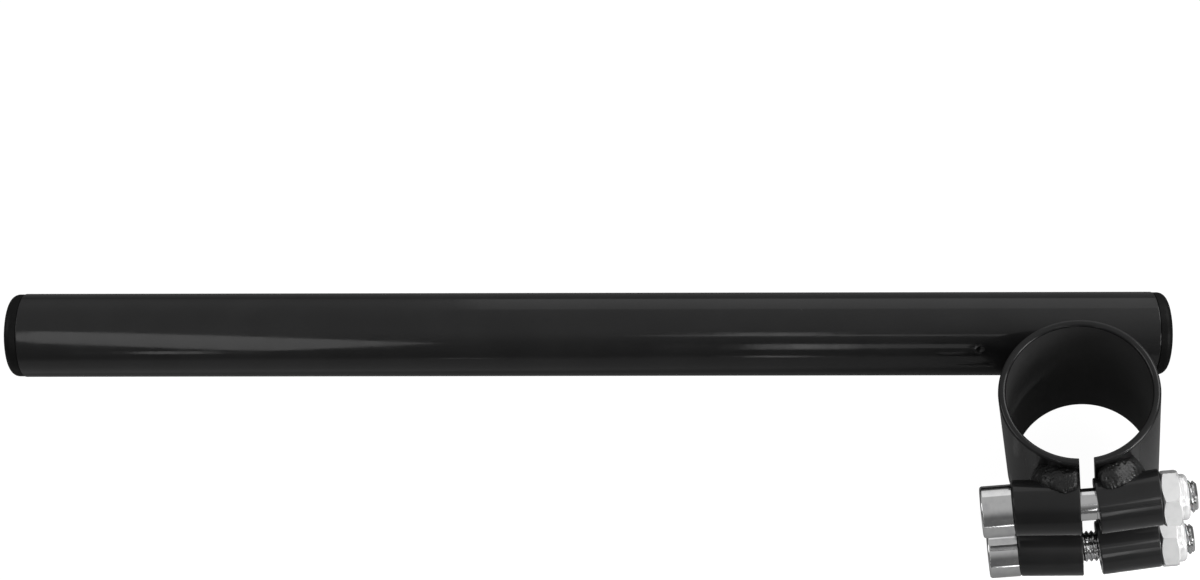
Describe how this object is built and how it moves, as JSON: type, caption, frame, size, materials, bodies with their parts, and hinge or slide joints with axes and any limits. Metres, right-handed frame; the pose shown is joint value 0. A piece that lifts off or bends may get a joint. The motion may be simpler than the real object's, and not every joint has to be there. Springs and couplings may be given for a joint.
{
  "type": "clip-on handlebar",
  "caption": "Straight handlebar tube welded across a split round clamp that grips a motorbike fork leg, drawn shut by socket head bolts with lock nuts; capped bar ends.",
  "frame": {"origin": "middle of the fork clamp's bore, on its axis", "axes": "+Z along the bore, towards the side that the grip end climbs to; +Y from the bore to the bar; X along the clamp bolts, with the grip end and the bolt heads towards -X"},
  "size_m": [0.3043, 0.0732, 0.094],
  "materials": {
    "black_paint": "gloss black paint over welded steel",
    "plated_steel": "bright plated steel",
    "insert_plastic": "natural nylon",
    "plug_plastic": "moulded black plastic, faint sheen"
  },
  "bodies": {
    "root": {"clamp_ring": "black_paint", "handlebar_tube": "black_paint", "bar_weld": "black_paint", "upper_head_barrel": "black_paint", "upper_nut_barrel": "black_paint", "lower_head_barrel": "black_paint", "lower_nut_barrel": "black_paint", "upper_head_barrel_weld": "black_paint", "upper_nut_barrel_weld": "black_paint", "lower_head_barrel_weld": "black_paint", "lower_nut_barrel_weld": "black_paint", "upper_clamp_bolt": "plated_steel", "lower_clamp_bolt": "plated_steel", "upper_lock_nut": "plated_steel", "lower_lock_nut": "plated_steel", "upper_nut_insert": "insert_plastic", "lower_nut_insert": "insert_plastic", "grip_end_plug": "plug_plastic", "clamp_end_plug": "plug_plastic"}
  },
  "joints": []
}
